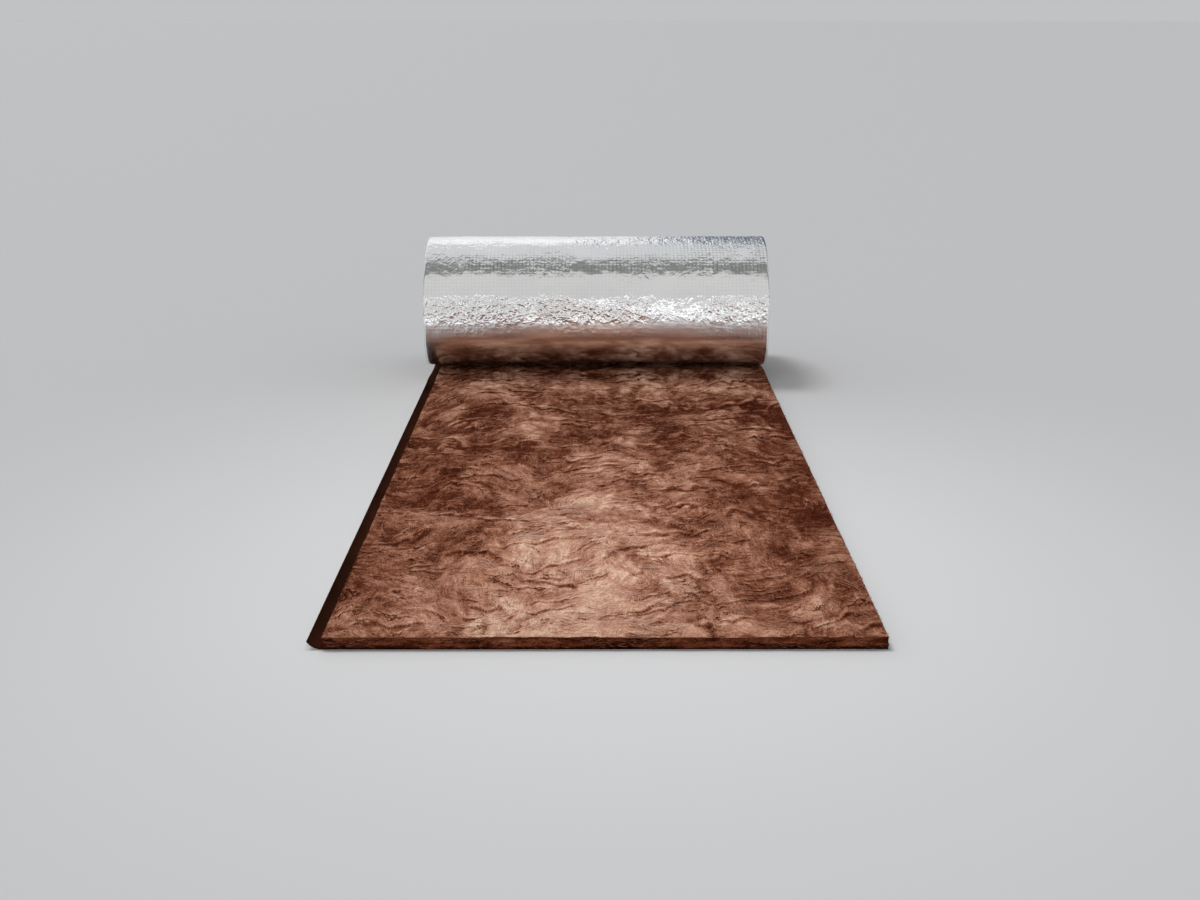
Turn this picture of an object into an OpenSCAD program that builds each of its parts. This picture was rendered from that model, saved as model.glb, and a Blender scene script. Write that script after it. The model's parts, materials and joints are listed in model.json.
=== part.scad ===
// Insulation roll: a foil-faced wool blanket, wound up with its free end unrolled along the floor.
// X runs along the roll's axis, the tail runs out along -Y, and Z = 0 is the floor.
// Millimetres.

/* [Blanket] */
// Width of the wool, along the roll's axis
wool_w = 1200; // [600:10:1500]
// Thickness of the wool, in the tail and in each turn
wool_t = 30; // [25:1:60]

/* [Facing] */
// Thickness of the foil and kraft facing
facing_t = 0.5; // [0.4:0.1:1]
// Width of the bare flange, past the wool's left edge
flange_w = 40; // [20:1:50]
// How far the tail's flange curls up, in degrees
flange_curl = 60; // [20:5:80]

/* [Roll] */
// Height of the roll above the tail that it lies on
roll_h = 470; // [350:5:700]
// Diameter of the eye, down the middle of the roll
eye_d = 80; // [40:1:160]
// Depth to which the facing's turns are built, in from each end
turn_depth = 6; // [3:0.5:12]

/* [Tail] */
// Length of the tail, from its cut end to below the roll's axis
tail_l = 2350; // [1200:10:4000]

/* [Hidden] */

// one turn of the blanket moves the roll in by its own thickness
pitch = wool_t + facing_t;
axis_z = (roll_h + 1.5 * pitch) / 2;
right_x = (wool_w + flange_w) / 2;
wool_x = right_x - wool_w;
left_x = -right_x;

// the facing ends one wool thickness outside the eye
last_psi = 360 * (axis_z - eye_d / 2 - pitch) / pitch;
back = axis_z - pitch / 4;
front_y = -(tail_l + back) / 2;
axis_y = front_y + tail_l;

// the turned wool runs out to the middle of the last turn but one, and overlaps what is wound round it
core_r = axis_z - 1.5 * pitch;
overlap = 2;

// the curl keeps the flange's full width along its arc
curl_r = flange_w / flange_curl * 180 / PI;
curl_steps = 8;
turn_step = 7.5;

// a point of the wound facing: psi is 0 on the floor and grows up the back of the roll,
// and in is the depth below the facing's outer side
function radius(psi) = axis_z - pitch * psi / 360;
function wound(psi, in) = [
    axis_y + (radius(psi) - in) * sin(psi),
    axis_z - (radius(psi) - in) * cos(psi)
];
function turn(to, in) = concat(
    [for (psi = [0 : turn_step : to - 0.01]) wound(psi, in)],
    [wound(to, in)]
);
function back_to_front(list) = [for (i = [len(list) - 1 : -1 : 0]) list[i]];

// an outline in Y and Z, drawn out along X
module along_x(from, to) {
    translate([from, 0, 0])
        rotate([90, 0, 90])
            linear_extrude(to - from)
                children();
}

// the wound facing, from the floor round to an angle
module facing_turn(to) {
    polygon(concat(turn(to, 0), back_to_front(turn(to, facing_t))));
}

// the facing under the tail and on round the roll
module facing_run(to) {
    polygon(concat(
        [[front_y, 0]],
        turn(to, 0),
        back_to_front(turn(to, facing_t)),
        [[front_y, facing_t]]
    ));
}

// the tail's flange: an arc of paper that rises from the wool's lower edge, in X and Z
function flange_arc(up) = [
    for (i = [0 : curl_steps]) let (b = flange_curl * i / curl_steps) [
        wool_x - (curl_r - up) * sin(b),
        curl_r - (curl_r - up) * cos(b)
    ]
];

module tail_flange() {
    translate([0, axis_y, 0])
        rotate([90, 0, 0])
            linear_extrude(tail_l)
                polygon(concat(flange_arc(0), back_to_front(flange_arc(facing_t))));
}

// the wool: the roll, turned about its axis
module wound_wool() {
    translate([wool_x, axis_y, axis_z])
        rotate([0, 90, 0])
            rotate_extrude($fn = 96)
                translate([eye_d / 2, 0])
                    square([core_r - eye_d / 2, wool_w]);
}

// the wool: the last turn, which comes off the roll on the floor and runs out as the tail
module last_turn() {
    along_x(wool_x, right_x) {
        difference() {
            polygon(concat(
                [[front_y, facing_t]],
                turn(360, facing_t),
                [[axis_y, pitch], [front_y, pitch]]
            ));
            translate([axis_y, axis_z])
                circle(core_r - overlap, $fn = 96);
        }
    }
}

module wool_blanket() {
    color([0.42, 0.26, 0.18])
        difference() {
            union() {
                wound_wool();
                last_turn();
            }
            along_x(wool_x - overlap, wool_x + turn_depth)
                facing_turn(last_psi);
            along_x(right_x - turn_depth, right_x + overlap)
                facing_turn(last_psi);
        }
}

module foil_facing() {
    color([0.78, 0.79, 0.8])
        union() {
            along_x(left_x, wool_x)
                facing_turn(last_psi);
            along_x(wool_x, wool_x + turn_depth)
                facing_run(last_psi);
            along_x(wool_x + turn_depth, right_x - turn_depth)
                facing_run(360);
            along_x(right_x - turn_depth, right_x)
                facing_run(last_psi);
            tail_flange();
        }
}

wool_blanket();
foil_facing();
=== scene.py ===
# %% [markdown]
# # A foil-faced insulation roll
# The object is one long blanket of brown mineral wool with a foil facing glued to one side. Most of
# it is still wound up, and its free end lies unrolled on the floor, wool side up. The exact solids
# of the wool and the facing are loaded first. They give the blanket's sizes and its place, and
# everything below is built on them.

# %% Load the frame
import json
import math
import random

import bmesh
import bpy
from mathutils import Euler, Matrix, Vector, noise


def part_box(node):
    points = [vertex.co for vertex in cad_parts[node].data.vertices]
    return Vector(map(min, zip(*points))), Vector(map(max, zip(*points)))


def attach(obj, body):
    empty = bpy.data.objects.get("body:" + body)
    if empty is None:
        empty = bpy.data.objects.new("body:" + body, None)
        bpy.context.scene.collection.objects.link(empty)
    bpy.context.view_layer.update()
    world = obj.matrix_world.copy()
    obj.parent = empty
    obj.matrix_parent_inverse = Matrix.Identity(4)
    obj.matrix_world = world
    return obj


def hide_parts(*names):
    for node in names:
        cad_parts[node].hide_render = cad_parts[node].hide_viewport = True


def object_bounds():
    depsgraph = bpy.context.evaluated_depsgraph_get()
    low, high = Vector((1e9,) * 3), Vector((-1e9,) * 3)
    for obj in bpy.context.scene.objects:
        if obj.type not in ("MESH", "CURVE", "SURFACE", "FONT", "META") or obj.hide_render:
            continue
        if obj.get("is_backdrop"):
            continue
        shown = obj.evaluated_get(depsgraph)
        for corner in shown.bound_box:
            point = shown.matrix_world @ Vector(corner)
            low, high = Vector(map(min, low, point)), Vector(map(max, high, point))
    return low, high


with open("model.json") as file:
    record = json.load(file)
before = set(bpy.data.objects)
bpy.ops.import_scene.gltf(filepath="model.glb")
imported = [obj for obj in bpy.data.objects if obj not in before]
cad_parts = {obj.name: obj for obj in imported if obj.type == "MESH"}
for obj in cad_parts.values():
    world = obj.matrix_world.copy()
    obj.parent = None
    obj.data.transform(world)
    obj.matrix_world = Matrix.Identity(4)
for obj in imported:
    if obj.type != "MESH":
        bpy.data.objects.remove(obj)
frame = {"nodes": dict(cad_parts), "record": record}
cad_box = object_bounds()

scene = bpy.context.scene
scene.view_settings.view_transform = "Standard"
print("solids:", sorted(frame["nodes"]))

# %% [markdown]
# ## Sizes of the blanket
# The wool's box gives its width and its cut front end, and the eye's mount gives the roll's axis. A
# wound blanket is a spiral: each turn lies one blanket thickness further in than the one outside it.
# A roll of soft wool also settles under its own weight, so its lower sides bulge a little past the
# true spiral. One function, which turns a count of turns into a point, knows both. It is enough to
# place the skin, the ends of the turns and their edges.

# %% Measure the solids
wool_low, wool_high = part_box("wool_blanket")
face_low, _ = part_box("foil_facing")
eye = next(m for m in frame["record"]["mounts"] if m["name"] == "roll_eye")
AXIS_Y, AXIS_Z = eye["pos_m"][1], eye["pos_m"][2]
EYE_R = eye["dims"]["r_mm"] / 1000
LEFT, RIGHT, FRONT = wool_low.x, wool_high.x, wool_low.y
FLANGE_X = face_low.x
FLANGE_W = LEFT - FLANGE_X
FACING = wool_low.z
WOOL = 0.030
PITCH = WOOL + FACING
TOP = PITCH
LAST_TURN = (AXIS_Z - EYE_R - PITCH) / PITCH
# how far the settled roll bulges at its front and at its back
FRONT_SAG, BACK_SAG = 0.0345, 0.012
# the sag starts above the axis, turns under, is full, is halved and ends at these angles below the axis
SAG_START, SAG_TURN, SAG_FULL, SAG_HALF, SAG_END = -11.5, 17, 32, 53.5, 75
TURN_SHARE = 0.655


def bulge(below):
    """Share of the sag at an angle below the roll's axis, in degrees.

    Four parabolas keep the side nearly flat at first and turn it under quickly below that.
    """
    if below < SAG_TURN:
        return TURN_SHARE * max(0.0, (below - SAG_START) / (SAG_TURN - SAG_START)) ** 2
    if below < SAG_FULL:
        return 1.0 - (1.0 - TURN_SHARE) * ((SAG_FULL - below) / (SAG_FULL - SAG_TURN)) ** 2
    if below < SAG_HALF:
        return 1.0 - 0.5 * ((below - SAG_FULL) / (SAG_HALF - SAG_FULL)) ** 2
    return 0.5 * max(0.0, (SAG_END - below) / (SAG_END - SAG_HALF)) ** 2


def wound(turns, x, inward=0.0):
    """A point of the wound facing, counted in turns from the floor line under the roll."""
    degrees = 360 * (turns % 1.0)
    sag = FRONT_SAG * bulge(degrees - 270) if degrees > 180 else BACK_SAG * bulge(90 - degrees)
    reach = AXIS_Z - PITCH * turns - inward
    reach += sag * reach / AXIS_Z
    angle = 2 * math.pi * turns
    return Vector((x, AXIS_Y + reach * math.sin(angle), AXIS_Z - reach * math.cos(angle)))


def wound_length(turns):
    """How much blanket has gone round by then, in metres."""
    return 2 * math.pi * (AXIS_Z * turns - PITCH * turns * turns / 2)


def ease(low, high, value):
    """Go softly from 0 at one value to 1 at another."""
    t = min(1.0, max(0.0, (value - low) / (high - low)))
    return t * t * (3 - 2 * t)


print(f"axis at y {AXIS_Y:.3f} z {AXIS_Z:.3f}")
print(f"{LAST_TURN:.2f} turns, {wound_length(LAST_TURN):.2f} m wound up")

# %% [markdown]
# ## Camera
# The picture was taken from in front of the tail, at about 1.3 m, with the roll straight ahead. The two
# long edges of the tail meet on the horizon, close to the top of the frame, which fixes the tilt, and
# the roll's height against the tail's width fixes the lens. The frame sits a little off the lens's axis,
# as in a picture that was cropped.

# %% Place the camera
FRAME_W = 1200
SENSOR = 36.0
FOCAL_PX, SHIFT_PX = 1329.3, -50
CAMERA_TILT, CAMERA_TURN = 16.09, -0.12
CAMERA_X, CAMERA_AHEAD, CAMERA_UP = 0.0033, 2.559, 1.2886
camera_data = bpy.data.cameras.new("camera")
camera_data.sensor_width = SENSOR
camera_data.lens = FOCAL_PX * SENSOR / FRAME_W
camera_data.shift_y = SHIFT_PX / FRAME_W
camera = bpy.data.objects.new("camera", camera_data)
camera.location = (CAMERA_X, FRONT - CAMERA_AHEAD, CAMERA_UP)
camera.rotation_euler = Euler((math.radians(90 - CAMERA_TILT), 0, math.radians(CAMERA_TURN)))
scene.collection.objects.link(camera)
scene.camera = camera
print(f"lens {camera_data.lens:.1f} mm")

# %% [markdown]
# ## Small helpers for nodes and pieces
# Shader trees get long when every node takes four lines. One helper makes a node, sets its values and
# links its inputs, and others build on it: a sum, a soft step, a noise, a colour ramp. Two more start a
# node group and a material. The last two turn a mesh into a piece that rides on the part's body.

# %% Node helpers
def add(tree, kind, inputs=None, **settings):
    node = tree.nodes.new(kind)
    for key, value in settings.items():
        setattr(node, key, value)
    for key, value in (inputs or {}).items():
        if isinstance(value, bpy.types.NodeSocket):
            tree.links.new(value, node.inputs[key])
        else:
            node.inputs[key].default_value = value
    return node


def calc(tree, operation, a, b=0.0, c=0.0):
    return add(tree, "ShaderNodeMath", {0: a, 1: b, 2: c}, operation=operation).outputs[0]


def smooth_step(tree, value, low, high):
    settings = {0: value, 1: low, 2: high, 3: 0.0, 4: 1.0}
    return add(tree, "ShaderNodeMapRange", settings, interpolation_type="SMOOTHSTEP").outputs[0]


def stretch(tree, vector, by):
    return add(tree, "ShaderNodeVectorMath", {0: vector, 1: by}, operation="MULTIPLY").outputs[0]


def grain(tree, vector, scale, detail=2.0, roughness=0.5, distortion=0.0):
    settings = {"Vector": vector, "Scale": scale, "Detail": detail}
    settings.update({"Roughness": roughness, "Distortion": distortion})
    return add(tree, "ShaderNodeTexNoise", settings).outputs["Fac"]


def wander(tree, vector, scale, detail, reach):
    """Push a place this way and that by a noise, so that what is read there isn't straight."""
    drift = add(tree, "ShaderNodeTexNoise", {"Vector": vector, "Scale": scale, "Detail": detail})
    settings = {0: drift.outputs["Color"], 1: reach, 2: vector}
    return add(tree, "ShaderNodeVectorMath", settings, operation="MULTIPLY_ADD").outputs[0]


def ramp(tree, factor, stops):
    node = add(tree, "ShaderNodeValToRGB", {"Fac": factor})
    marks = node.color_ramp.elements
    for place, _ in stops[2:]:
        marks.new(place)
    for mark, (place, colour) in zip(marks, stops):
        mark.position = place
        mark.color = (*colour, 1.0)
    return node.outputs["Color"]


def mix_colour(tree, factor, a, b):
    settings = {"Factor": factor, "A": a, "B": b}
    return add(tree, "ShaderNodeMix", settings, data_type="RGBA").outputs["Result"]


def start_group(name, inputs, outputs):
    tree = bpy.data.node_groups.new(name, "ShaderNodeTree")
    for label, (kind, value) in inputs.items():
        socket = tree.interface.new_socket(label, in_out="INPUT", socket_type="NodeSocket" + kind)
        if value is not None:
            socket.default_value = value
    for label, kind in outputs.items():
        tree.interface.new_socket(label, in_out="OUTPUT", socket_type="NodeSocket" + kind)
    return tree, tree.nodes.new("NodeGroupInput").outputs, tree.nodes.new("NodeGroupOutput").inputs


def start_material(name, **values):
    material = bpy.data.materials.new(name)
    material.use_nodes = True
    shader = material.node_tree.nodes["Principled BSDF"]
    for key, value in values.items():
        shader.inputs[key.replace("_", " ")].default_value = value
    return material, material.node_tree, shader.inputs


def make_piece(name, bm, materials, slot, *nodes):
    mesh = bpy.data.meshes.new(name)
    bm.to_mesh(mesh)
    bm.free()
    return place_piece(name, mesh, materials, slot, *nodes)


def place_piece(name, mesh, materials, slot, *nodes):
    for material in materials:
        mesh.materials.append(material)
    mesh.shade_smooth()
    piece = bpy.data.objects.new(name, mesh)
    scene.collection.objects.link(piece)
    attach(piece, "root")
    if nodes:
        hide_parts(*nodes)
    mesh.calc_loop_triangles()
    print(f"{name}: {len(mesh.vertices)} points, {len(mesh.loop_triangles)} triangles")
    return piece


# %% [markdown]
# ## Light and floor
# Foil shows what stands round it, so the light is a plain studio of wide soft bands that run along the
# roll: a bright one low behind it, a grey one overhead, a dark one above the camera, a pale grey one in
# front and a bright one at the horizon. The bands are one ramp on the angle round the roll's axis. They
# sit in the world, where they also light the wool softly from all sides. A soft sun from behind gives
# the wool its relief, and a softbox over the tail makes its front end paler. The foil would mirror both
# as hard spots, so they are hidden from reflections. The camera itself sees a plain pale backdrop, of
# the same colour as the floor far away.

# %% World bands
world = bpy.data.worlds.new("studio")
scene.world = world
world.use_nodes = True
tree = world.node_tree
tree.nodes.clear()
way = add(tree, "ShaderNodeSeparateXYZ", {0: add(tree, "ShaderNodeTexCoord").outputs["Generated"]}).outputs
round_axis = calc(tree, "ARCTAN2", way["Z"], calc(tree, "MULTIPLY", way["Y"], -1.0))
# 0 is the horizon in front, 0.5 is overhead and 1 is the horizon behind the roll
height = calc(tree, "DIVIDE", round_axis, math.pi)
bands = ramp(tree, height, [
    (0.0, (0.45, 0.455, 0.48)),
    (0.006, (0.78, 0.785, 0.80)),
    (0.013, (1.90, 1.90, 1.92)),
    (0.028, (1.90, 1.90, 1.91)),
    (0.036, (0.74, 0.74, 0.74)),
    (0.046, (0.60, 0.60, 0.595)),
    (0.330, (0.66, 0.66, 0.65)),
    (0.367, (0.22, 0.225, 0.215)),
    (0.462, (0.22, 0.225, 0.22)),
    (0.496, (0.66, 0.665, 0.675)),
    (0.73, (0.66, 0.67, 0.68)),
    (0.77, (1.08, 1.085, 1.10)),
    (0.83, (1.02, 1.025, 1.04)),
    (0.90, (0.82, 0.825, 0.84)),
    (1.0, (0.92, 0.925, 0.94)),
])
# the bright band low behind the roll turns dim and bluish on its right
DIM_CORNER, BACKDROP = (0.17, 0.20, 0.26, 1), (0.5335, 0.5385, 0.546, 1)
on_right, low_behind = smooth_step(tree, way["X"], 0.025, 0.09), smooth_step(tree, height, 0.70, 0.78)
corner = calc(tree, "MULTIPLY", on_right, low_behind)
dimmed = mix_colour(tree, corner, bands, DIM_CORNER)
seen = add(tree, "ShaderNodeLightPath").outputs["Is Camera Ray"]
backdrop = mix_colour(tree, seen, dimmed, BACKDROP)
sky = add(tree, "ShaderNodeBackground", {"Color": backdrop, "Strength": 1.0})
add(tree, "ShaderNodeOutputWorld", {"Surface": sky.outputs[0]})
print("world", world.name, "with", len(tree.nodes), "nodes")


# %% Lamps
def hang_lamp(name, kind, place, target, power):
    data = bpy.data.lights.new(name, kind)
    data.energy = power
    lamp = bpy.data.objects.new(name, data)
    lamp.location = place
    lamp.rotation_euler = (Vector(target) - Vector(place)).to_track_quat("-Z", "Y").to_euler()
    lamp.visible_glossy = False
    scene.collection.objects.link(lamp)
    return data


sun = hang_lamp("soft_sun", "SUN", place=(-3.5, 2.5, 9.0), target=(0, 0, 0), power=1.3)
sun.angle = math.radians(18)
softbox = hang_lamp("front_softbox", "AREA", place=(0.05, -0.70, 2.9), target=(0.05, -0.85, 0), power=5.0)
softbox.size, softbox.spread = 0.8, math.radians(75)
print("lamps:", sun.name, softbox.name)

# %% Floor
# the floor lies a hair below the sheet, so that the two never share a plane
FLOOR_HALF, FLOOR_Z = 400, -0.0006
bm = bmesh.new()
bmesh.ops.create_grid(bm, x_segments=1, y_segments=1, size=FLOOR_HALF)
bmesh.ops.translate(bm, vec=(0, 0, FLOOR_Z), verts=bm.verts)
mesh = bpy.data.meshes.new("floor")
bm.to_mesh(mesh)
bm.free()
floor = bpy.data.objects.new("floor", mesh)
scene.collection.objects.link(floor)
pale_floor, _, _ = start_material("pale_floor", Base_Color=(0.55, 0.55, 0.555, 1), Roughness=0.9)
mesh.materials.append(pale_floor)
floor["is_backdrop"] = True
print("floor", 2 * FLOOR_HALF, "m across")

# %% [markdown]
# ## What wool looks like
# Mineral wool is a felt of very fine fibres. They lie in soft clumps and thin torn layers that wander over
# the blanket. Their light and shade is painted into the colour: painted highlights where a clump stands up
# or a layer ends in a lip, and painted shade, dark red-brown, in the creases and gaps between. This painted
# shade of the piece's own folds, mixed with the wool's own uneven tone, is stored on its points as one tone
# attribute, and the combed place of its fibres as `lay`, so that the painted shade follows the real folds.
# One node group turns the two into a tone and a fine height, and each wool finish colours that tone in its
# own way.

# %% Wool fibre group
tree, given, result = start_group(
    "wool_fibres",
    {"Lay": ("Vector", None), "Tone_And_Painted_Shade": ("Float", 0.5)},
    {"Tone": "Float", "Height": "Float"},
)
lay = given["Lay"]
# clumps of a few centimetres, strands that run two ways in turn, a fine fuzz, and broad patches
clumps = grain(tree, stretch(tree, lay, (1.0, 0.60, 1.0)), 34.0, 6.0, 0.70, 0.7)
across = grain(tree, stretch(tree, lay, (0.32, 1.0, 1.0)), 140.0, 5.0, 0.74, 0.4)
along = grain(tree, stretch(tree, lay, (1.0, 0.26, 1.0)), 140.0, 5.0, 0.74, 0.4)
turned = smooth_step(tree, grain(tree, lay, 13.0, 2.0), 0.40, 0.60)
strands = calc(tree, "MULTIPLY_ADD", turned, calc(tree, "SUBTRACT", across, along), along)
fuzz = grain(tree, stretch(tree, lay, (1.0, 0.55, 1.0)), 260.0, 4.0, 0.72)
patches = grain(tree, stretch(tree, lay, (1.0, 0.7, 1.0)), 6.0, 5.0, 0.62, 0.6)
# thin torn layers: each ends in a lip with a painted highlight, and painted shadow fills the gap at the foot
# of the next one behind it; the same marks also give a fine bump
place = add(tree, "ShaderNodeSeparateXYZ", {0: lay}).outputs
stagger = grain(tree, stretch(tree, lay, (15.0, 17.0, 9.0)), 1.0, 4.0, 0.65)
layers = calc(tree, "MULTIPLY_ADD", stagger, 5.0, calc(tree, "MULTIPLY", place["Y"], 44.0))
line = calc(tree, "ROUND", layers)
past = calc(tree, "SUBTRACT", layers, line)
spot = add(tree, "ShaderNodeCombineXYZ", {
    "X": calc(tree, "MULTIPLY", place["X"], 15.0),
    "Y": calc(tree, "MULTIPLY", line, 1.73),
    "Z": place["Z"],
}).outputs[0]
gape = smooth_step(tree, grain(tree, spot, 1.0, 2.0), 0.47, 0.64)
gap = calc(tree, "MULTIPLY", smooth_step(tree, past, -0.26, -0.10), smooth_step(tree, past, 0.04, -0.04))
lip = calc(tree, "MULTIPLY", smooth_step(tree, past, -0.02, 0.06), smooth_step(tree, past, 0.42, 0.08))
torn = calc(tree, "MULTIPLY", gape, calc(tree, "MULTIPLY_ADD", gap, -1.0, calc(tree, "MULTIPLY", lip, 0.42)))
# the tone starts from the painted shade and painted highlights of the folds, stored on the points
tone = calc(tree, "MULTIPLY_ADD", given["Tone_And_Painted_Shade"], 0.70, 0.15)
for texture, share in ((clumps, 0.80), (strands, 0.82), (fuzz, 0.95), (patches, 0.60)):
    tone = calc(tree, "MULTIPLY_ADD", calc(tree, "SUBTRACT", texture, 0.5), share, tone)
# the torn layers add their painted highlights and painted shadows to the tone
tree.links.new(calc(tree, "MULTIPLY_ADD", torn, 0.34, tone), result["Tone"])
height = calc(tree, "MULTIPLY_ADD", strands, 0.40, calc(tree, "MULTIPLY", clumps, 0.9))
height = calc(tree, "MULTIPLY_ADD", fuzz, 0.34, height)
tree.links.new(calc(tree, "MULTIPLY_ADD", torn, 0.36, height), result["Height"])
wool_fibres = tree
print("group", tree.name, "with", len(tree.nodes), "nodes")


# %% Wool finishes
def wool_material(name, stops):
    material, tree, sockets = start_material(name, Roughness=0.95, Specular_IOR_Level=0.0)
    lay = add(tree, "ShaderNodeAttribute", attribute_name="lay").outputs["Vector"]
    tone_and_painted_shade = add(tree, "ShaderNodeAttribute", attribute_name="tone_and_painted_shade").outputs["Fac"]
    fibres = add(tree, "ShaderNodeGroup", node_tree=wool_fibres)
    tree.links.new(lay, fibres.inputs["Lay"])
    tree.links.new(tone_and_painted_shade, fibres.inputs["Tone_And_Painted_Shade"])
    tree.links.new(ramp(tree, fibres.outputs["Tone"], stops), sockets["Base Color"])
    fine = {"Height": fibres.outputs["Height"], "Strength": 0.9, "Distance": 0.010}
    tree.links.new(add(tree, "ShaderNodeBump", fine).outputs["Normal"], sockets["Normal"])
    return material


wool = wool_material("brown_wool", [
    (0.05, (0.045, 0.0097, 0.0044)),
    (0.25, (0.096, 0.026, 0.013)),
    (0.40, (0.180, 0.066, 0.037)),
    (0.50, (0.262, 0.108, 0.065)),
    (0.60, (0.352, 0.166, 0.107)),
    (0.75, (0.475, 0.248, 0.170)),
    (1.00, (0.690, 0.480, 0.350)),
])
wool_cut = wool_material("cut_wool", [
    (0.05, (0.016, 0.003, 0.0012)),
    (0.30, (0.070, 0.014, 0.0055)),
    (0.50, (0.152, 0.035, 0.0145)),
    (0.70, (0.265, 0.080, 0.040)),
    (1.00, (0.480, 0.240, 0.160)),
])
print("wool finishes:", wool.name, wool_cut.name)

# %% [markdown]
# ## The unrolled tail
# The tail is a 30 mm slab with a ragged top and square cut edges. It could be a box with a displacement
# texture, but then its edges would be as sharp as a plank's. A fine grid is the top instead. Its rim is
# extruded outwards and down in small steps, which gives the soft shoulder and the cut face, and the
# points are then pushed up and down. The relief is combed: a slow swirl bends the places that the folds
# are read from, so clumps wander as fibres do, and `lay` keeps the combed place for the finish.

# %% Relief of the wool's upper side
def flow(x, y):
    """Comb the swirl straight: where a point of the tail would lie if every clump ran along X."""
    loose = 0.75 + 1.0 * ease(0.10, LEFT, x)
    broad = noise.noise(Vector((x * 1.9, y * 2.3, 4.0)))
    swirl = noise.noise(Vector((x * 4.2, y * 3.2, 6.0)))
    curl = noise.noise(Vector((x * 9.0, y * 8.0, 9.0)))
    side = noise.noise(Vector((x * 5.0, y * 5.0, 13.0)))
    return x + 0.05 * side, y + loose * (0.10 * broad + 0.075 * swirl + 0.022 * curl)


def heading(x, y):
    """The way that the fibres run at a point of the tail, as an angle from X."""
    step = 0.004
    along = flow(x + step, y)[1] - flow(x - step, y)[1]
    across = flow(x, y + step)[1] - flow(x, y - step)[1]
    return math.atan2(-along, max(across, 0.6 * step))


def flake(u, v, rate, seed):
    """Height and painted shade of one set of torn layers: each ends in a lip with a painted highlight, over a
    gap with painted shadow in front of it.
    """
    slow = noise.noise(Vector((u * 4.0, v * 4.0, seed)))
    ragged = noise.noise(Vector((u * 21.0, v * 12.0, seed + 1)))
    layers = v * rate + 1.3 * (slow + 0.40 * ragged)
    line = round(layers)
    past = layers - line
    gape = ease(0.02, 0.34, noise.noise(Vector((u * 6.5, line * 1.73, seed + 2))))
    if past < -0.12:
        step = past + 0.5
    elif past < 0.02:
        step = 0.38 - 0.76 * ease(-0.12, 0.02, past)
    else:
        step = past - 0.38
    gap = ease(-0.24, -0.10, past) * (1.0 - ease(-0.05, 0.04, past))
    lip = ease(-0.04, 0.04, past) * (1.0 - ease(0.06, 0.34, past))
    return -gape * step, gape * (0.55 * lip - gap)


def folds(x, y):
    """Height of the wool over its mean, about -1 to 1, and its painted shade: soft lumps under torn layers,
    painted dark in their creases and gaps and pale where they stand up and on their lips.
    """
    u, v = flow(x, y)
    lumps = noise.fractal(Vector((u * 9.0, v * 6.0, 1.5)), 1.0, 2.0, 4)
    bend = noise.noise(Vector((u * 12.0, v * 9.0, 5.5)))
    tufts = abs(noise.noise(Vector((u * 17.0 + bend, v * 15.0 - bend, 2.5)))) - 0.22
    curls = abs(noise.noise(Vector((u * 38.0 - bend, v * 30.0 + bend, 8.5)))) - 0.22
    broad, broad_shade = flake(u, v, 12.0, 71.0)
    small, small_shade = flake(u + 0.3 * v, v - 0.3 * u, 26.0, 81.0)
    wisp = noise.noise(Vector((u * 75.0, v * 50.0, 3.5)))
    height = 0.55 * lumps + 0.9 * tufts + 0.5 * curls + 0.55 * broad + 0.40 * small + 0.25 * wisp
    shade = 0.30 * lumps + 0.38 * tufts + 0.24 * curls + 0.34 * broad_shade + 0.34 * small_shade + 0.10 * wisp
    # the painted shade is made stronger towards the roll and in the middle of the front
    far_off = 0.45 * ease(-0.6, 0.4, y)
    front_middle = 0.35 * ease(0.4, 0.05, abs(x)) * ease(-0.3, -0.7, y)
    return height, shade * (1.0 + far_off + front_middle)


def painted_light_pool(x, y):
    """Painted light and shade over the tail: a painted pool of light down its middle and at its open front
    end, painted shade on its left and right and in a band part way back, and paler again towards the roll.
    """
    middle = 1.0 - ease(0.04, 0.44, abs(x + 0.03))
    ahead = ease(AXIS_Y - 0.6, FRONT + 0.25, y)
    dark_left = 0.05 * ease(-0.15, LEFT, x) * (1.0 - ahead)
    waist = 0.055 * ease(FRONT + 0.3, FRONT + 0.8, y) * ease(AXIS_Y - 0.4, AXIS_Y - 0.9, y)
    dark_right = 0.06 * ease(0.30, 0.48, x) * ahead
    behind = 0.17 * ease(0.2, AXIS_Y - 0.3, y)
    return -0.155 + middle * (0.04 + 0.42 * ahead) + 0.04 * ahead + behind - dark_left - dark_right - waist


# how far a fold of height 1 stands up, in metres
RELIEF = 0.0062


def relief_share(x, y):
    """How freely the wool stands up: less at its cut edges, and not at all under the roll."""
    edge = min(x - LEFT, RIGHT - x, y - FRONT)
    return (0.45 + 0.55 * ease(0.0, 0.03, edge)) * (1.0 - ease(AXIS_Y - 0.22, AXIS_Y - 0.09, y))


def swelling(y):
    """The wool swells in front of the roll, where the weight lets go of it."""
    freed = ease(AXIS_Y - 0.06, AXIS_Y - 0.15, y)
    flat_again = ease(AXIS_Y - 0.17, AXIS_Y - 0.40, y)
    return 0.0055 * freed * (1.0 - flat_again) - 0.0012


def tail_height(x, y):
    return TOP + swelling(y) + RELIEF * folds(x, y)[0] * relief_share(x, y)


print(f"wool at the tail's middle: {1000 * tail_height(0.0, 0.0):.1f} mm high")

# %% Build the tail
TAIL_COLUMNS, TAIL_ROWS = 214, 396
# on cut edges the fibres lie in layers, so the finish is squeezed across the thickness
LAYERED = 2.6
# the flat top ends this far inside the cut edges
SHOULDER = 0.0035
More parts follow.
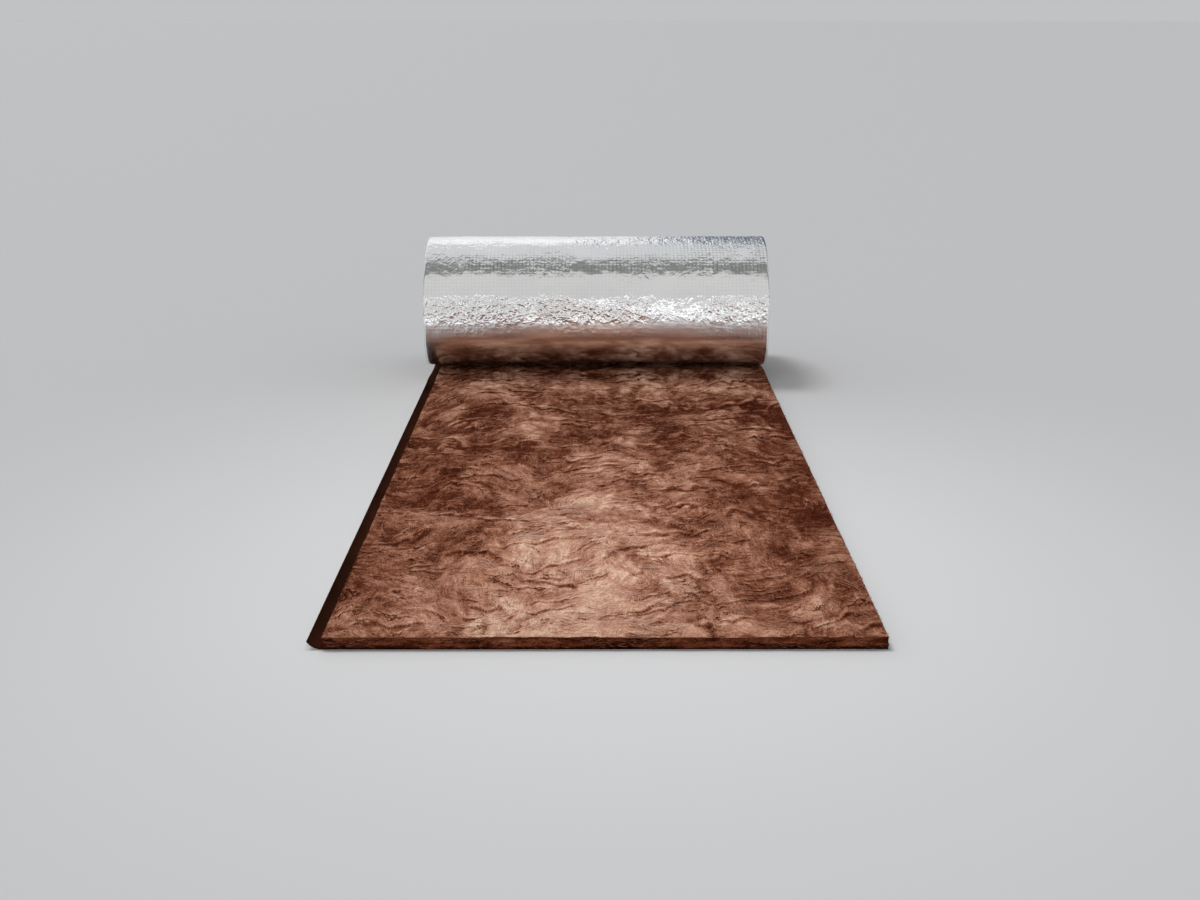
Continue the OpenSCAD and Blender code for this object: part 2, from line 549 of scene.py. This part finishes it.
# inset from the cut edge and depth below the top, in mm, of each step round the shoulder and down the cut
RIM = ((1.6, 0.3), (0.5, 1.3), (0.0, 3.2), (0.0, 8.5), (0.0, 14.0), (0.0, 19.5), (0.3, 25.0), (1.0, 29.9))
bm = bmesh.new()
tone_and_painted_shade = bm.verts.layers.float.new("tone_and_painted_shade")
lay = bm.verts.layers.float_vector.new("lay")
bmesh.ops.create_grid(bm, x_segments=TAIL_COLUMNS, y_segments=TAIL_ROWS, size=0.5)
# the slab runs on a little past the roll's axis, into the wound wool
BACK = AXIS_Y + 0.012
middle = Vector(((LEFT + RIGHT) / 2, (FRONT + BACK) / 2, TOP))
span = Vector((RIGHT - LEFT - 2 * SHOULDER, BACK - FRONT - 2 * SHOULDER, 1))
# rows are close in the open and wide where the roll hides them
HIDDEN = 0.17
OPEN_ROWS, HIDDEN_ROWS = 0.97, 0.03
for vert in bm.verts:
    t = vert.co.y + 0.5
    if t < OPEN_ROWS:
        vert.co.y = t / OPEN_ROWS * (1 - HIDDEN / span.y) - 0.5
    else:
        vert.co.y = 0.5 - (1 - t) / HIDDEN_ROWS * HIDDEN / span.y
bmesh.ops.scale(bm, vec=span, verts=bm.verts)
bmesh.ops.translate(bm, vec=middle, verts=bm.verts)
inset, depth = SHOULDER, 0.0
for step_in, step_down in RIM:
    step_in, step_down = step_in / 1000, step_down / 1000
    rim = [edge for edge in bm.edges if edge.is_boundary]
    made = bmesh.ops.extrude_edge_only(bm, edges=rim)["geom"]
    ring = [item for item in made if isinstance(item, bmesh.types.BMVert)]
    grow = [(size + 2 * (SHOULDER - step_in)) / (size + 2 * (SHOULDER - inset)) for size in span.xy]
    bmesh.ops.scale(bm, vec=(*grow, 1), space=Matrix.Translation(-middle), verts=ring)
    bmesh.ops.translate(bm, vec=(0, 0, depth - step_down), verts=ring)
    inset, depth = step_in, step_down
bmesh.ops.edgeloop_fill(bm, edges=[edge for edge in bm.edges if edge.is_boundary])
bmesh.ops.recalc_face_normals(bm, faces=bm.faces)
for face in bm.faces:
    face.material_index = int(abs(face.normal.z) < 0.5 and face.calc_center_median().y < BACK - 0.02)

print("plain slab:", len(bm.verts), "points")

# %% Push the tail's points: folds on the top, ragged layers on the cut edges
for vert in bm.verts:
    x, y, z = vert.co
    down = TOP - z
    share = 1.0 - ease(0.003, 0.016, down)
    fold, shade = folds(x, y)
    layer = noise.fractal(Vector((x * 14, y * 14, z * 230)), 1.0, 2.0, 3)
    vert.co.z += (RELIEF * fold * relief_share(x, y) + swelling(y)) * share
    push = ease(0.0008, 0.005, down) * (1.0 - ease(0.026, 0.0299, down)) * (0.0006 + 0.0030 * layer)
    at_left, at_right, at_front = x < LEFT + SHOULDER, x > RIGHT - SHOULDER, y < FRONT + SHOULDER
    if down > 0.0002:
        vert.co.x += push * (at_right - at_left)
        vert.co.y -= push * at_front
    if down > 0.0025:
        # painted shade on the cut faces, darkest at their foot along the floor
        vert[tone_and_painted_shade] = 0.44 + 0.55 * layer - 0.45 * ease(0.018, 0.0299, down)
        if (at_left or at_right) and not at_front:
            vert[lay] = (y, LAYERED * z + x, 4.0)
        else:
            vert[lay] = (x, LAYERED * z + y, 2.0)
    else:
        # the top's tone is the painted shade of the folds plus the painted pool of light
        tone = 0.5 + shade + painted_light_pool(x, y) + 0.10 * ease(0.0002, 0.0012, down)
        vert[tone_and_painted_shade] = min(1.0, max(0.0, tone))
        vert[lay] = (*flow(x, y), z)
wool_tail = make_piece("wool_tail", bm, [wool, wool_cut], "wool", "wool_blanket")

# %% [markdown]
# ## The wound turns
# The ends of the roll show the blanket edge on: thick brown turns with the facing as a thin line between
# them. A ring could be turned with one groove for each turn, but a real roll is a spiral. So a ring is
# spun from its section, with the same number of steps in each turn, and every point is then drawn in by
# one blanket thickness as it goes round. Each turn so arrives where the next one starts, and merging the
# points joins them into one spiral.

# %% Spin a ring of wool
STEPS, ROWS = 200, 8
# on the ends each turn's wool puffs out between two lines of facing, and is torn by this much
BULGE, SINK, TORN = 0.0035, 0.0020, 0.0018
END_INSET = 0.003
MERGE = 0.00005
rows = math.ceil((AXIS_Z - FACING - EYE_R) / PITCH * ROWS)
bm = bmesh.new()
section = []
for end in (RIGHT, LEFT):
    heights = [AXIS_Z - FACING - PITCH * row / ROWS for row in range(rows + 1)]
    section.append([bm.verts.new((end, 0.0, z)) for z in heights])
loop = section[0] + section[1][::-1]
edges = [bm.edges.new((a, b)) for a, b in zip(loop, loop[1:] + loop[:1])]
bmesh.ops.spin(bm, geom=loop + edges, cent=(0, 0, 0), axis=(1, 0, 0), angle=2 * math.pi, steps=STEPS,
               use_merge=False, use_duplicate=False)
print("spun section:", len(bm.verts), "points")

# %% Draw the ring in to a spiral
bm.verts.ensure_lookup_table()
tone_and_painted_shade = bm.verts.layers.float.new("tone_and_painted_shade")
lay = bm.verts.layers.float_vector.new("lay")
per_ring = len(loop)
for index, vert in enumerate(bm.verts):
    place = index % per_ring
    turn = (index // per_ring) / STEPS
    at_right = place <= rows
    row = place if at_right else per_ring - 1 - place
    deepest = AXIS_Z - PITCH * turn - EYE_R
    inward = min(FACING + PITCH * row / ROWS, deepest)
    across = (row % ROWS) / ROWS
    metres = wound_length(turn + row // ROWS)
    end_seed = 3.0 if at_right else 7.0
    layer = noise.fractal(Vector((metres * 9, (row % ROWS) * 1.9, end_seed)), 1.0, 2.0, 3)
    puff = BULGE * (1 - (2 * across - 1) ** 2) - SINK * (across == 0) + TORN * layer
    if across == 0:
        puff = min(puff, 0.0)
    # rows that have reached the eye lie on one line, so that they can merge
    if inward == deepest:
        puff = -SINK
    x = RIGHT - END_INSET + puff if at_right else LEFT + END_INSET - puff
    vert.co = wound(turn, x, inward)
    # the sunk row beside each line of facing gets painted shade
    vert[tone_and_painted_shade] = 0.46 + 0.45 * layer - 0.25 * (across == 0)
    vert[lay] = (metres, LAYERED * across * PITCH, 0.5 * x)
bmesh.ops.remove_doubles(bm, verts=bm.verts, dist=MERGE)
bmesh.ops.dissolve_degenerate(bm, dist=MERGE, edges=bm.edges)
hole = [edge for edge in bm.edges if edge.is_boundary]
bmesh.ops.holes_fill(bm, edges=hole)
bmesh.ops.recalc_face_normals(bm, faces=bm.faces)
print("open edges left:", sum(edge.is_boundary for edge in bm.edges), "of", len(hole))
wool_turns = make_piece("wool_turns", bm, [wool_cut], "wool", "wool_blanket")

# %% [markdown]
# ## Foil and kraft
# The facing is a laminate: aluminium foil outside, a net of glass threads in the middle and brown kraft
# paper inside. Between the threads the foil is drawn into tiny pillows, which show on both sides as a
# fine square grid, and handling has crinkled it all over. The pillows and the crinkle are node groups on
# the sheet's own measure in metres, so they keep their size wherever the sheet goes.

# %% Scrim group
tree, given, result = start_group(
    "scrim_grid",
    {"Lay": ("Vector", None), "Spacing": ("Float", 0.013)},
    {"Pillow": "Float", "Threads": "Float"},
)
bent = wander(tree, given["Lay"], 14.0, 2.0, (0.010, 0.014, 0.0))
cell = add(tree, "ShaderNodeVectorMath", {0: bent}, operation="SCALE")
tree.links.new(calc(tree, "DIVIDE", math.pi, given["Spacing"]), cell.inputs["Scale"])
parts = add(tree, "ShaderNodeSeparateXYZ", {0: cell.outputs[0]}).outputs
swell = [calc(tree, "ABSOLUTE", calc(tree, "SINE", parts[axis])) for axis in ("X", "Y")]
depth = smooth_step(tree, grain(tree, given["Lay"], 6.0, 2.0), 0.28, 0.52)
where = add(tree, "ShaderNodeSeparateXYZ", {0: given["Lay"]}).outputs
# the net fades out at the left end and low on the front
off_left, off_low = smooth_step(tree, where["X"], -0.60, -0.40), smooth_step(tree, where["Y"], 1.03, 0.96)
shows = calc(tree, "MULTIPLY", off_left, off_low)
depth = calc(tree, "MULTIPLY", depth, calc(tree, "MULTIPLY_ADD", shows, 0.85, 0.15))
# it presses through most where the sheet was drawn tight: over the front shoulder and at the right end
shoulder, right_end = smooth_step(tree, where["Y"], 0.915, 0.95), smooth_step(tree, where["X"], 0.20, 0.45)
tight = calc(tree, "MAXIMUM", shoulder, right_end)
depth = calc(tree, "MULTIPLY", depth, calc(tree, "MULTIPLY_ADD", tight, 0.75, 0.25))
tree.links.new(calc(tree, "MULTIPLY", calc(tree, "MULTIPLY", *swell), depth), result["Pillow"])
nearest = calc(tree, "MINIMUM", *swell)
drawn = calc(tree, "SUBTRACT", 1.0, smooth_step(tree, nearest, 0.05, 0.55))
tree.links.new(calc(tree, "MULTIPLY", drawn, depth), result["Threads"])
scrim_grid = tree
print("group", tree.name, "with", len(tree.nodes), "nodes")

# %% Crinkle group
tree, given, result = start_group(
    "sheet_crinkle",
    {"Lay": ("Vector", None)},
    {"Height": "Float", "Worn": "Float", "Pressed": "Float"},
)
lay = given["Lay"]
bent = wander(tree, lay, 9.0, 3.0, (0.06, 0.06, 0.0))
facets = add(tree, "ShaderNodeTexVoronoi", {"Vector": bent, "Scale": 44.0}, feature="F1").outputs["Distance"]
small = add(tree, "ShaderNodeTexVoronoi", {"Vector": bent, "Scale": 118.0}, feature="F1").outputs["Distance"]
wave = grain(tree, lay, 32.0, 4.0, 0.6, 0.8)
rumple = smooth_step(tree, grain(tree, lay, 5.5, 2.0, 0.5, 0.4), 0.36, 0.62)
height = calc(tree, "MULTIPLY_ADD", small, 0.55, facets)
height = calc(tree, "ADD", wave, height)
# heights are counted from their mean, or the sheet would step down where the crinkle gets weaker
MEAN_HEIGHT = 1.25
height = calc(tree, "SUBTRACT", height, MEAN_HEIGHT)
height = calc(tree, "MULTIPLY", height, calc(tree, "MULTIPLY_ADD", rumple, 0.7, 0.3))
# handling has crushed some rows of the skin, and others lie smooth: metres along the sheet, and how rough
across, metres, _ = add(tree, "ShaderNodeSeparateXYZ", {0: lay}).outputs
ROWS_ROUGH = (
    (0.0, 0.8), (0.86, 0.7), (0.91, 0.85), (0.97, 0.8), (1.00, 0.4), (1.08, 0.45),
    (1.11, 1.2), (1.155, 1.4), (1.178, 1.0), (1.195, 0.16), (1.6, 0.16),
)
handled = ramp(tree, calc(tree, "MULTIPLY", metres, 0.5), [(s / 2, (rough,) * 3) for s, rough in ROWS_ROUGH])
# the right half of the lowest crushed rows was handled less
right_half, lowest = smooth_step(tree, across, -0.12, 0.14), smooth_step(tree, metres, 1.115, 1.135)
calm = calc(tree, "MULTIPLY", right_half, lowest)
handled = calc(tree, "MULTIPLY", handled, calc(tree, "MULTIPLY_ADD", calm, -0.35, 1.0))
tree.links.new(calc(tree, "MULTIPLY", height, handled), result["Height"])
# below them the roll's weight has pressed the foil smooth
tree.links.new(smooth_step(tree, metres, 1.18, 1.22), result["Pressed"])
tree.links.new(grain(tree, lay, 4.0, 5.0, 0.65), result["Worn"])
sheet_crinkle = tree
print("group", tree.name, "with", len(tree.nodes), "nodes")


# %% Foil and kraft finishes
def facing_material(name, crinkle, pillow, **values):
    material, tree, sockets = start_material(name, **values)
    lay = add(tree, "ShaderNodeAttribute", attribute_name="lay").outputs["Vector"]
    grid = add(tree, "ShaderNodeGroup", node_tree=scrim_grid)
    folded = add(tree, "ShaderNodeGroup", node_tree=sheet_crinkle)
    tree.links.new(lay, grid.inputs["Lay"])
    tree.links.new(lay, folded.inputs["Lay"])
    rough = add(tree, "ShaderNodeBump", {"Height": folded.outputs["Height"], "Distance": crinkle})
    net = add(tree, "ShaderNodeBump", {"Height": grid.outputs["Pillow"], "Distance": pillow})
    tree.links.new(rough.outputs["Normal"], net.inputs["Normal"])
    tree.links.new(net.outputs["Normal"], sockets["Normal"])
    return material, tree, sockets, grid.outputs["Threads"], folded.outputs


foil, tree, sockets, threads, folded = facing_material("bright_foil", 0.0026, 0.0004, Metallic=1.0)
worn = folded["Worn"]
colour = ramp(tree, worn, [(0.3, (0.88, 0.885, 0.89)), (0.7, (0.95, 0.953, 0.955))])
tree.links.new(mix_colour(tree, threads, colour, (0.64, 0.65, 0.64, 1)), sockets["Base Color"])
gloss = add(tree, "ShaderNodeMapRange", {0: worn, 1: 0.3, 2: 0.7, 3: 0.19, 4: 0.12}).outputs[0]
tree.links.new(calc(tree, "MULTIPLY_ADD", folded["Pressed"], 0.05, gloss), sockets["Roughness"])

kraft, tree, sockets, threads, folded = facing_material(
    "kraft_in_painted_shade", 0.0016, 0.0003, Roughness=0.9, Specular_IOR_Level=0.03
)
# the kraft is painted nearly black: painted shade, far darker than brown kraft paper
shade = calc(tree, "MULTIPLY_ADD", threads, -0.12, folded["Worn"])
colour = ramp(tree, shade, [(0.15, (0.010, 0.0032, 0.0016)), (0.75, (0.042, 0.0125, 0.0058))])
tree.links.new(colour, sockets["Base Color"])
print("facing finishes:", foil.name, kraft.name)

# %% [markdown]
# ## The skin of the roll
# The outermost turn of the facing is the roll's skin. It leaves the floor under the roll, goes up the back
# and over the top, and comes down on the tail one blanket thickness higher. A flat grid with the sheet's
# own measure on its points is laid round the spiral, so the crinkles can be thought of on flat foil: a
# slow wave, sharp little folds, and a few long slanting creases near the right end. Low on the front the
# roll's weight presses them flat, and there the skin flares out a little towards both ends. Solidify
# gives the sheet its thickness, with foil outside and kraft inside.

# %% Crinkles and thickness of the facing
def crinkle(x, s):
    """How far the foil stands off its true curve, in metres."""
    swell = noise.noise(Vector((x * 4.0, s * 7.0, 12.0)))
    bend = noise.noise(Vector((x * 11.0, s * 11.0, 21.0)))
    facet = abs(noise.noise(Vector((x * 26 + 1.4 * bend, s * 26 + 1.2 * swell, 15.0))))
    small = noise.noise(Vector((x * 55, s * 55, 18.0)))
    slant = noise.noise(Vector(((x * 0.8 + s * 0.6) * 30, (s * 0.8 - x * 0.6) * 7, 30.0)))
    near_right = ease(RIGHT - 0.38, RIGHT - 0.05, x)
    pressed = 1.0 - 0.85 * ease(1.14, 1.19, s)
    return pressed * (0.0014 * swell + 0.0015 * facet + 0.00045 * small + 0.0018 * near_right * abs(slant))


def facing_thickness(piece):
    wall = piece.modifiers.new("facing_wall", "SOLIDIFY")
    wall.thickness = FACING
    wall.offset = -1.0
    wall.material_offset = 1
    wall.material_offset_rim = 0


print(f"crinkle in the middle of the top: {1000 * crinkle(0.0, wound_length(0.5)):.1f} mm")

# %% Build the skin
SKIN_COLUMNS, SKIN_ROWS = 186, 232
# how far the skin flares at its ends, and over what width
FLARE, FLARE_W = 0.008, 0.18
bm = bmesh.new()
lay = bm.verts.layers.float_vector.new("lay")
bmesh.ops.create_grid(bm, x_segments=SKIN_COLUMNS, y_segments=SKIN_ROWS, size=0.5)
for vert in bm.verts:
    x = FLANGE_X + (vert.co.x + 0.5) * (RIGHT - FLANGE_X)
    turns = vert.co.y + 0.5
    s = wound_length(turns)
    # no crinkles where the sheet starts on the floor and where it comes down on the tail
    free = ease(0.0, 0.06, turns) * (1.0 - ease(0.93, 0.98, turns))
    bare = ease(LEFT, FLANGE_X, x)
    ruffle = 0.0020 * bare * noise.noise(Vector((s * 6.0, 1.0, 61.0)))
    to_end = min(x - FLANGE_X, RIGHT - x)
    flare = FLARE * max(0.0, 1 - to_end / FLARE_W) ** 2 * ease(0.95, 1.12, s)
    vert.co = wound(turns, x, -(crinkle(x, s) + ruffle + flare) * free)
    vert[lay] = (x, s, 0)
bmesh.ops.recalc_face_normals(bm, faces=bm.faces)
top_face = max(bm.faces, key=lambda face: face.calc_center_median().z)
if top_face.normal.z < 0:
    bmesh.ops.reverse_faces(bm, faces=bm.faces)
foil_skin = make_piece("foil_skin", bm, [foil, kraft], "foil", "foil_facing")
facing_thickness(foil_skin)

# %% [markdown]
# ## The sheet under the tail, with its flange
# The facing runs on under the tail and is wider than the wool on the left. That bare strip is the flange
# that laps over the next length of blanket. Nothing holds it down, so the paper curls up off the floor,
# and near the roll the weight flattens it again. The strip's curl is an arc whose angle changes along the
# tail.

# %% Build the tail's sheet
CURL = math.radians(60)
bm = bmesh.new()
lay = bm.verts.layers.float_vector.new("lay")
FLAT_COLUMNS, FLANGE_COLUMNS, SHEET_ROWS = 24, 12, 150
columns = FLAT_COLUMNS + FLANGE_COLUMNS
bmesh.ops.create_grid(bm, x_segments=columns, y_segments=SHEET_ROWS, size=0.5)
for vert in bm.verts:
    column = round((vert.co.x + 0.5) * columns)
    y = FRONT + (vert.co.y + 0.5) * (AXIS_Y - FRONT)
    sway = noise.noise(Vector((y * 2.3, 0, 41.0)))
    ripple = noise.noise(Vector((y * 17.0, 3.0, 43.0)))
    if column >= FLANGE_COLUMNS:
        x = LEFT + (column - FLANGE_COLUMNS) / FLAT_COLUMNS * (RIGHT - LEFT)
        vert.co = (x, y, 0)
    else:
        out = (FLANGE_COLUMNS - column) / FLANGE_COLUMNS
        x = LEFT - out * FLANGE_W
        freed = 1 - ease(AXIS_Y - 0.34, AXIS_Y - 0.03, y)
        curl = (CURL + 0.14 * sway + 0.06 * ripple) * freed + 0.001
        bow = FLANGE_W / curl
        rise = bow * (1 - math.cos(curl * out)) + 0.0005 * ripple * out
        vert.co = (LEFT - bow * math.sin(curl * out), y, rise)
    vert[lay] = (x, y - AXIS_Y, 0)
bmesh.ops.recalc_face_normals(bm, faces=bm.faces)
bm.faces.ensure_lookup_table()
if bm.faces[-1].normal.z > 0:
    bmesh.ops.reverse_faces(bm, faces=bm.faces)
foil_sheet = make_piece("foil_sheet", bm, [foil, kraft], "foil", "foil_facing")
facing_thickness(foil_sheet)

# %% [markdown]
# ## The inner turns of the facing
# Between the turns of wool the facing goes on round to the eye. At the right end only its edge shows. At
# the left end the flange stands out of every turn as a wide ruffled ribbon, bent a little this way and
# that by handling. Both are grids laid on the same spiral as the skin.

# %% Build the edges of the inner turns
TURN_STEPS = 150
# how far in the facing is built, where the wool hides it
TUCK = 0.012


def inner_turns(name, x_in, x_out, columns, ruffle):
    bm = bmesh.new()
    lay = bm.verts.layers.float_vector.new("lay")
    along = math.ceil((LAST_TURN - 1) * TURN_STEPS)
    bmesh.ops.create_grid(bm, x_segments=columns, y_segments=along, size=0.5)
    for vert in bm.verts:
        out = vert.co.x + 0.5
        turns = 1 + (vert.co.y + 0.5) * (LAST_TURN - 1)
        s = wound_length(turns)
        x = x_in + out * (x_out - x_in)
        lean = noise.noise(Vector((s * 5.0, 2.0, 51.0))) + 0.5 * noise.noise(Vector((s * 19.0, 4.0, 53.0)))
        fine = noise.noise(Vector((s * 60, x * 60, 57.0)))
        shrink = ruffle * 0.25 * abs(lean) * out * out
        side = -1 if x_out < x_in else 1
        vert.co = wound(turns, x - side * shrink, -ruffle * lean * out * out - 0.0006 * fine * out)
        vert[lay] = (x, s, 0)
    bmesh.ops.recalc_face_normals(bm, faces=bm.faces)
    bm.faces.ensure_lookup_table()
    face = bm.faces[0]
    centre = face.calc_center_median()
    if face.normal.dot(centre - Vector((centre.x, AXIS_Y, AXIS_Z))) < 0:
        bmesh.ops.reverse_faces(bm, faces=bm.faces)
    facing_thickness(make_piece(name, bm, [foil, kraft], "foil", "foil_facing"))


inner_turns("flange_turns", LEFT + TUCK, FLANGE_X, columns=10, ruffle=0.011)
inner_turns("edge_turns", RIGHT - TUCK, RIGHT + 0.0025, columns=3, ruffle=0.0012)

# %% [markdown]
# ## Loose fibres
# No felt is smooth. Thin wisps lie on the tail, half sunk in it, some alone and some in torn bundles that
# still hold together. There are thousands of them, so they are one joined mesh built from arrays: each
# wisp is a short bent ribbon that follows the way the fibres run, with its ends tucked in.

# %% How a wisp is laid
fibre, tree, sockets = start_material("loose_fibre", Roughness=0.95, Specular_IOR_Level=0.0)
pale = add(tree, "ShaderNodeAttribute", attribute_name="tone_and_painted_shade").outputs["Fac"]
stops = [(0.0, (0.085, 0.022, 0.011)), (0.5, (0.31, 0.130, 0.078)), (1.0, (0.66, 0.41, 0.305))]
tree.links.new(ramp(tree, pale, stops), sockets["Base Color"])

chance = random.Random(7)
KNOTS = 6
WISP_WIDTH = (0.0003, 0.0007)
# the wisps end this far from the cut edges, and their ends are sunk by this much
MARGIN, TUCKED = 0.003, 0.0004
points, faces, tones = [], [], []


def add_wisp(path, across, tone):
    """One ribbon along a list of points, tapering to both ends."""
    start = len(points)
    for knot, point in enumerate(path):
        half = across * (0.25 + 0.75 * math.sin(math.pi * (knot + 0.5) / len(path)))
        points.append(point - half)
        points.append(point + half)
        tones.extend((tone, tone))
    for knot in range(len(path) - 1):
        a = start + 2 * knot
        faces.append((a, a + 1, a + 3, a + 2))


def lay_wisp(x, y, lean, length, bend, rise, width, tone):
    """A wisp on the tail that starts at a point and runs with the fibres, leaning off their way."""
    path = []
    for knot in range(KNOTS):
        px = min(max(x, LEFT + MARGIN), RIGHT - MARGIN)
        py = min(max(y, FRONT + MARGIN), AXIS_Y - 0.1)
        lift = rise * math.sin(math.pi * knot / (KNOTS - 1)) - TUCKED
        path.append(Vector((px, py, tail_height(px, py) + lift)))
        angle = heading(px, py) + lean + bend * (knot - KNOTS / 2)
        x += math.cos(angle) * length / KNOTS
        y += math.sin(angle) * length / KNOTS
    across = Vector((-math.sin(angle), math.cos(angle), 0)) * width
    # a wisp takes the painted shade of the folds and the painted pool of light where it lies
    tone = tone + 0.4 * folds(px, py)[1] + 0.9 * painted_light_pool(px, py)
    add_wisp(path, across, min(1.0, max(0.0, tone)))


def lay_bundle(x, y, lean, length, bend, tone, count, spread, fan, rise):
    """Wisps that still hold together, spread a little along X and Y and fanned out."""
    for _ in range(count):
        lay_wisp(
            x + chance.gauss(0, spread[0]), y + chance.gauss(0, spread[1]), lean + chance.gauss(0, fan),
            length * chance.uniform(0.6, 1.1), bend + chance.gauss(0, 0.02), chance.uniform(*rise),
            chance.uniform(*WISP_WIDTH), tone + chance.gauss(0, 0.10),
        )


print("fibre finish:", fibre.name)

# %% Lay single wisps all over, torn bundles, and pale tufts in the middle of the front
for _ in range(10000):
    lay_wisp(
        chance.uniform(LEFT, RIGHT), chance.uniform(FRONT, AXIS_Y - 0.2), chance.gauss(0, 0.95),
        chance.uniform(0.012, 0.045), chance.gauss(0, 0.14), chance.uniform(0.0004, 0.0018),
        chance.uniform(*WISP_WIDTH), chance.gauss(0.46, 0.20),
    )
for _ in range(150):
    x, y = chance.uniform(LEFT, RIGHT), chance.uniform(FRONT, AXIS_Y - 0.2)
    lean, length = chance.gauss(0, 0.70), chance.uniform(0.04, 0.15)
    bend, tone = chance.gauss(0, 0.05), chance.gauss(0.62, 0.16)
    count = chance.randint(7, 16)
    lay_bundle(x, y, lean, length, bend, tone, count, spread=(0.018, 0.007), fan=0.12, rise=(0.0006, 0.0030))
for _ in range(14):
    x, y = chance.gauss(0.0, 0.20), chance.uniform(FRONT + 0.06, FRONT + 0.9)
    lean, length = chance.gauss(0, 0.45), chance.uniform(0.05, 0.13)
    bend = chance.gauss(0, 0.06)
    lay_bundle(x, y, lean, length, bend, 0.72, 22, spread=(0.012, 0.0045), fan=0.06, rise=(0.0010, 0.0040))
print("wisps on the top:", len(points) // (2 * KNOTS))

# %% Fluff on the cut edges: small loops that bulge out of the wool, with both ends tucked in
# the fluff stays clear of the floor
LOWEST_FLUFF = 0.003
for _ in range(2400):
    side = chance.choices(("front", "left", "right"), (1.2, 2.1, 2.1))[0]
    z = TOP - chance.uniform(0.0005, 0.024)
    if side == "front":
        start = Vector((chance.uniform(LEFT, RIGHT - 0.02), FRONT, z))
        along, out = Vector((1, 0, 0)), Vector((0, -1, 0))
    else:
        edge_x, outward = (LEFT, -1) if side == "left" else (RIGHT, 1)
        start = Vector((edge_x, chance.uniform(FRONT, AXIS_Y - 0.25), z))
        along, out = Vector((0, 1, 0)), Vector((outward, 0, 0))
    length, rise = chance.uniform(0.006, 0.022), chance.uniform(0.0008, 0.0034)
    sink = chance.gauss(0, 0.004)
    path = []
    for knot in range(KNOTS):
        t = knot / (KNOTS - 1)
        bulging = out * (rise * math.sin(math.pi * t) - 0.0006)
        drop = min(max(sink * t, LOWEST_FLUFF - z), TOP - z)
        path.append(start + along * (length * t) + bulging + Vector((0, 0, drop)))
    across = Vector((0, 0, chance.uniform(0.0002, 0.0005)))
    add_wisp(path, across, chance.uniform(0.15, 0.55))
mesh = bpy.data.meshes.new("tail_wisps")
mesh.from_pydata(points, [], faces)
mesh.attributes.new("tone_and_painted_shade", "FLOAT", "POINT").data.foreach_set("value", tones)
place_piece("tail_wisps", mesh, [fibre], "wool")

# %% [markdown]
# ## Done
# The box of the solids and the box of the finished pieces are printed side by side. The finish may
# stand only a few millimetres proud of the solids.

# %% Print the boxes and finish
new_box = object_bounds()
for name, (low, high) in (("solids", cad_box), ("pieces", new_box)):
    print(name, [round(v, 4) for v in high - low])
